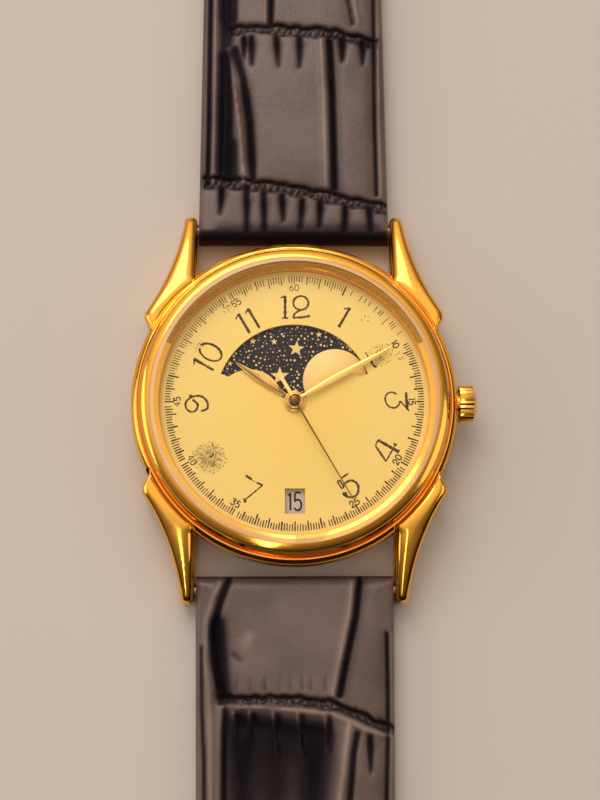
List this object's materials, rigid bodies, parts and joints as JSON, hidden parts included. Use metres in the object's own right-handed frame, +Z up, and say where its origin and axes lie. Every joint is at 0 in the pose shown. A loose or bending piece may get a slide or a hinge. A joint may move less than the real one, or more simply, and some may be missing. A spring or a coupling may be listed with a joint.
{
  "type": "wristwatch",
  "caption": "Round wristwatch with moon phase and date windows, three hands, pull-out crown and buckled leather strap.",
  "frame": {"origin": "centre of the flat outer face of the case back", "axes": "+Z up through the crystal, +Y to 12 o'clock along the strap, +X to the crown at 3 o'clock"},
  "size_m": [0.0348, 0.2339, 0.008],
  "materials": {
    "gold_case": "polished",
    "gold_trim": "polished",
    "steel": "satin",
    "movement_metal": "satin",
    "gear_brass": "satin",
    "crystal_glass": "polished",
    "dial_cream": "matt",
    "moon_sky": "gloss",
    "date_cream": "matt",
    "leather_croc": "embossed matt",
    "leather_lining": "smooth",
    "seal_rubber": "matt"
  },
  "bodies": {
    "case": {"mid_case": "gold_case", "bezel": "gold_case", "crystal": "crystal_glass", "case_back": "steel", "case_tube": "gold_trim", "movement": "movement_metal", "dial": "dial_cream", "spring_bar_12": "steel", "spring_bar_6": "steel"},
    "seconds": {"second_hand": "gold_trim"},
    "minutes": {"minute_hand": "gold_trim"},
    "hours": {"hour_hand": "gold_trim", "hour_wheel": "gear_brass"},
    "date_driver": {"date_driving_wheel": "gear_brass"},
    "date_ring": {"date_disc": "date_cream"},
    "moon": {"moon_disc": "moon_sky"},
    "crown_slide": {"crown_gasket": "seal_rubber"},
    "crown_knob": {"crown": "gold_trim", "winding_stem": "steel"},
    "buckle_strap": {"strap_12_leather": "leather_croc", "strap_12_lining": "leather_lining", "fixed_keeper": "leather_croc"},
    "pointed_strap": {"strap_6": "leather_croc"},
    "sliding_keeper": {"free_keeper": "leather_croc"},
    "buckle": {"buckle_frame": "gold_trim", "buckle_bar": "steel"},
    "tongue": {"buckle_tongue": "gold_trim"}
  },
  "joints": [
    {"name": "seconds_turn", "type": "hinge", "parent": "case", "child": "seconds", "pos_m": [0, 0, 0], "axis": [0, 0, -1], "continuous": true},
    {"name": "minutes_turn", "type": "hinge", "parent": "case", "child": "minutes", "pos_m": [0, 0, 0], "axis": [0, 0, -1], "continuous": true},
    {"name": "hours_turn", "type": "hinge", "parent": "case", "child": "hours", "pos_m": [0, 0, 0], "axis": [0, 0, -1], "continuous": true},
    {"name": "date_driver_turn", "type": "hinge", "parent": "case", "child": "date_driver", "pos_m": [-0.0062, 0, 0], "axis": [0, 0, -1], "continuous": true},
    {"name": "date_turn", "type": "hinge", "parent": "case", "child": "date_ring", "pos_m": [0, 0, 0], "axis": [0, 0, -1], "continuous": true},
    {"name": "moon_turn", "type": "hinge", "parent": "case", "child": "moon", "pos_m": [0, 0, 0], "axis": [0, 0, -1], "continuous": true},
    {"name": "crown_pull", "type": "slide", "parent": "case", "child": "crown_slide", "axis": [1, 0, 0], "range_m": [0, 0.0008]},
    {"name": "crown_turn", "type": "hinge", "parent": "crown_slide", "child": "crown_knob", "pos_m": [0.0166, 0, 0.0039], "axis": [1, 0, 0], "continuous": true},
    {"name": "buckle_strap_swing", "type": "hinge", "parent": "case", "child": "buckle_strap", "pos_m": [0, 0.0187, 0.0019], "axis": [1, 0, 0], "range_deg": [-90, 50]},
    {"name": "pointed_strap_swing", "type": "hinge", "parent": "case", "child": "pointed_strap", "pos_m": [0, -0.0187, 0.0019], "axis": [-1, 0, 0], "range_deg": [-90, 50]},
    {"name": "keeper_slide", "type": "slide", "parent": "buckle_strap", "child": "sliding_keeper", "axis": [0, -1, 0], "range_m": [0, 0.016]},
    {"name": "buckle_swing", "type": "hinge", "parent": "buckle_strap", "child": "buckle", "pos_m": [0, 0.0907, 0.002], "axis": [1, 0, 0], "range_deg": [-60, 45]},
    {"name": "tongue_swing", "type": "hinge", "parent": "buckle", "child": "tongue", "pos_m": [0, 0.0907, 0.002], "axis": [1, 0, 0], "range_deg": [0, 75]}
  ],
  "couplings": [
    {"joint": "minutes_turn", "follows": "seconds_turn", "ratio": 0.016667},
    {"joint": "hours_turn", "follows": "seconds_turn", "ratio": 0.0013889},
    {"joint": "date_driver_turn", "follows": "seconds_turn", "ratio": -0.00069444}
  ]
}
